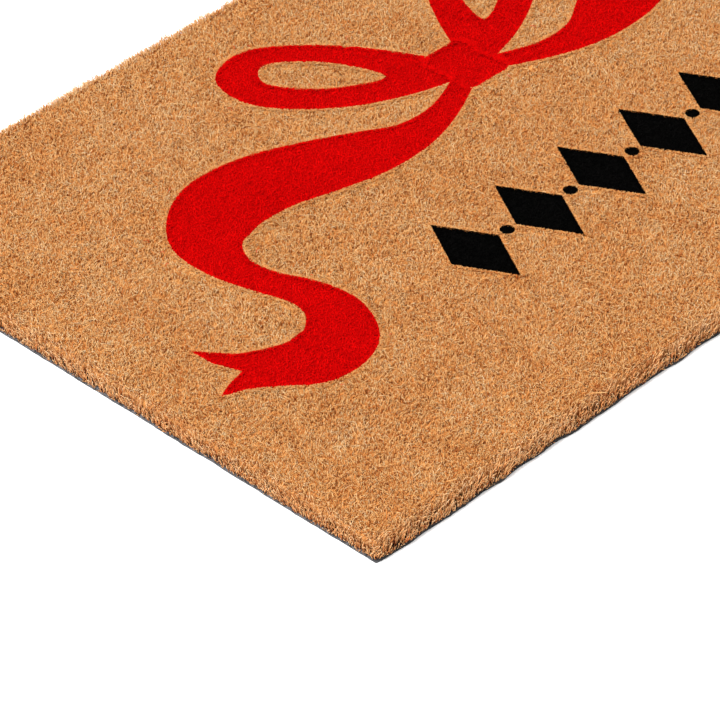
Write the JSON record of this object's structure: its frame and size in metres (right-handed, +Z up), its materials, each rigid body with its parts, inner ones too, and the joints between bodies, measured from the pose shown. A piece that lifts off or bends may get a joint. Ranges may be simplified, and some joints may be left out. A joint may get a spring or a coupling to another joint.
{
  "type": "coir door mat",
  "caption": "Rectangular coir door mat: dense coconut-fibre pile fused into a thin PVC backing sheet, dyed with a ribbon bow and a row of lozenges. Lies flat at a door.",
  "frame": {"origin": "centre of the underside of the backing sheet, on the floor", "axes": "+X along the long side, +Y along the short side towards the bow, +Z up out of the pile"},
  "size_m": [0.737, 0.432, 0.015],
  "materials": {
    "pvc_backing": "dark grey PVC, satin, trimmed edge",
    "coir_natural": "natural coconut fibre, coarse upright pile",
    "coir_red": "coconut fibre dyed red",
    "coir_black": "coconut fibre dyed black"
  },
  "bodies": {
    "root": {"backing_sheet": "pvc_backing", "natural_pile": "coir_natural", "bow_knot": "coir_red", "bow_loop_left": "coir_red", "bow_loop_right": "coir_red", "ribbon_tail_left": "coir_red", "ribbon_tail_right": "coir_red", "lozenge_1": "coir_black", "lozenge_2": "coir_black", "lozenge_3": "coir_black", "lozenge_4": "coir_black", "lozenge_5": "coir_black", "lozenge_6": "coir_black", "dot_1": "coir_black", "dot_2": "coir_black", "dot_3": "coir_black", "dot_4": "coir_black", "dot_5": "coir_black"}
  },
  "joints": []
}
